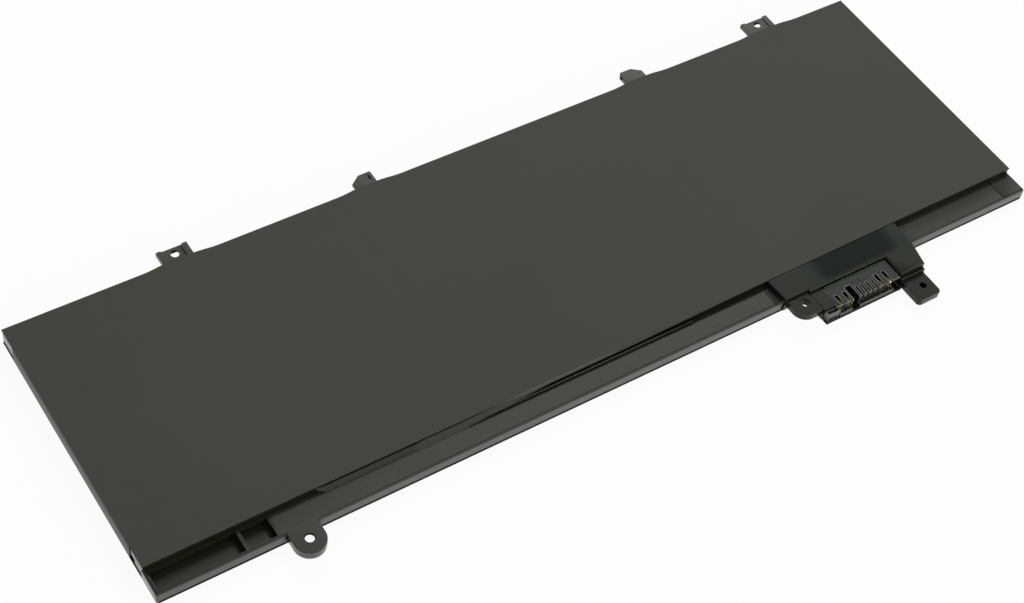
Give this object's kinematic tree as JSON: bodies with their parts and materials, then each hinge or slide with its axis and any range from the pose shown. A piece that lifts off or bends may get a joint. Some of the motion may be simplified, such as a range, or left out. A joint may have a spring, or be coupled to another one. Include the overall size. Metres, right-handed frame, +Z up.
{
  "type": "laptop battery",
  "caption": "Thin internal laptop battery: film-covered pouch cells in a flat moulded frame, with screw tabs, hooks and a slotted blade connector.",
  "frame": {"origin": "middle of the footprint, on the plane of the label side that the pack lies on", "axes": "+X along the pack, +Y towards the rear screw tabs, +Z up out of the film side"},
  "size_m": [0.29, 0.116, 0.0056],
  "materials": {
    "frame_plastic": "fine moulded grain, matte",
    "top_film": "matte printed polyester film",
    "label_film": "matte polyester film, bare",
    "pouch_foil": "satin laminated foil",
    "adhesive": "translucent tape",
    "aluminium_tab": "satin rolled strip",
    "nickel": "satin nickel",
    "tape": "amber insulating tape",
    "circuit_board": "green solder mask",
    "insulator": "fish paper",
    "chip": "moulded epoxy",
    "ceramic": "fired ceramic",
    "connector_plastic": "glass-filled moulding, speckled",
    "contact_gold": "gold-flashed copper alloy"
  },
  "bodies": {
    "root": {"board_insulator": "insulator", "capacitors": "ceramic", "cell_1": "pouch_foil", "cell_2": "pouch_foil", "cell_3": "pouch_foil", "cell_adhesive_1": "adhesive", "cell_adhesive_2": "adhesive", "cell_adhesive_3": "adhesive", "circuit_board": "circuit_board", "connector_block": "connector_plastic", "contact_1": "contact_gold", "contact_2": "contact_gold", "contact_3": "contact_gold", "contact_4": "contact_gold", "contact_5": "contact_gold", "contact_6": "contact_gold", "contact_7": "contact_gold", "contact_8": "contact_gold", "frame": "frame_plastic", "gauge_chip": "chip", "label_film": "label_film", "protection_fuse": "ceramic", "protector_chip": "chip", "resistors": "ceramic", "shunt_resistor": "ceramic", "tab_negative_1": "nickel", "tab_negative_2": "nickel", "tab_negative_3": "nickel", "tab_positive_1": "aluminium_tab", "tab_positive_2": "aluminium_tab", "tab_positive_3": "aluminium_tab", "tab_tape_1": "tape", "tab_tape_2": "tape", "tab_tape_3": "tape", "thermistor": "ceramic", "top_film": "top_film", "transistor_charge": "chip", "transistor_discharge": "chip", "weld_pad_negative_1": "nickel", "weld_pad_negative_2": "nickel", "weld_pad_negative_3": "nickel", "weld_pad_positive_1": "nickel", "weld_pad_positive_2": "nickel", "weld_pad_positive_3": "nickel"}
  },
  "joints": []
}
